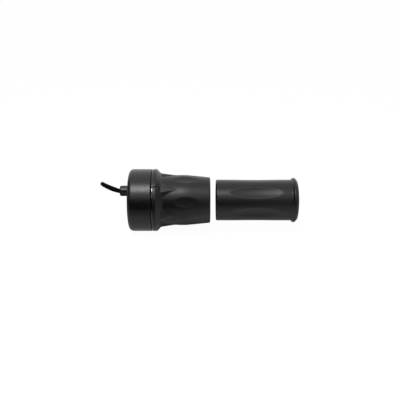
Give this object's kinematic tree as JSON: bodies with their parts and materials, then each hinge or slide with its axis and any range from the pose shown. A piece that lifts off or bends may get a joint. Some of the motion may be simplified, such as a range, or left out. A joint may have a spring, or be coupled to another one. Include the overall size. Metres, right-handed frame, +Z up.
{
  "type": "twist throttle",
  "caption": "Half-length hand twist throttle with drum housing, fluted rubber sleeve, cable and matching end grip; turns on a handlebar and springs back.",
  "frame": {"origin": "on the handlebar's axis, at the seam between the drum housing and the twist sleeve", "axes": "+X outboard along the handlebar, +Y away from the rider, +Z up"},
  "size_m": [0.1543, 0.1189, 0.047],
  "materials": {
    "drum_plastic": "satin black moulded plastic",
    "grip_rubber": "matt black moulded rubber",
    "gland_rubber": "black moulded strain relief",
    "cable_jacket": "black flexible cable jacket",
    "core_plastic": "dark moulded plastic",
    "board": "green circuit board",
    "sensor_epoxy": "black moulded sensor body",
    "tinned_wire": "tinned legs",
    "red_wire": "red wire insulation",
    "black_wire": "black wire insulation",
    "green_wire": "green wire insulation",
    "spring_steel": "bare spring steel",
    "screw_steel": "blackened steel",
    "brass": "bare brass",
    "washer_nylon": "natural nylon",
    "magnet": "nickel-plated magnet",
    "tie_nylon": "black nylon",
    "connector_nylon": "natural nylon"
  },
  "bodies": {
    "fixed": {"housing": "drum_plastic", "screw_insert": "brass", "set_screw": "screw_steel", "cable_gland": "gland_rubber", "sensor_board": "board", "board_screws": "screw_steel", "hall_sensor": "sensor_epoxy", "sensor_leads": "tinned_wire", "supply_wire": "red_wire", "ground_wire": "black_wire", "signal_wire": "green_wire", "return_spring": "spring_steel", "thrust_washer": "washer_nylon", "retaining_washer": "washer_nylon", "retaining_ring": "spring_steel", "end_grip": "grip_rubber", "cable_run": "cable_jacket", "cable_coil": "cable_jacket", "cable_tail": "cable_jacket", "coil_tie": "tie_nylon", "connector_body": "connector_nylon", "connector_terminals": "brass"},
    "twist": {"twist_core": "core_plastic", "magnet_open": "magnet", "magnet_closed": "magnet", "grip_sleeve": "grip_rubber"}
  },
  "joints": [
    {"name": "twist_turn", "type": "hinge", "parent": "fixed", "child": "twist", "pos_m": [0, 0, 0], "axis": [1, 0, 0], "range_deg": [0, 70], "stiffness_Nm_per_rad": 0.1, "springref_deg": -28.65, "deforming": ["return_spring"]}
  ]
}
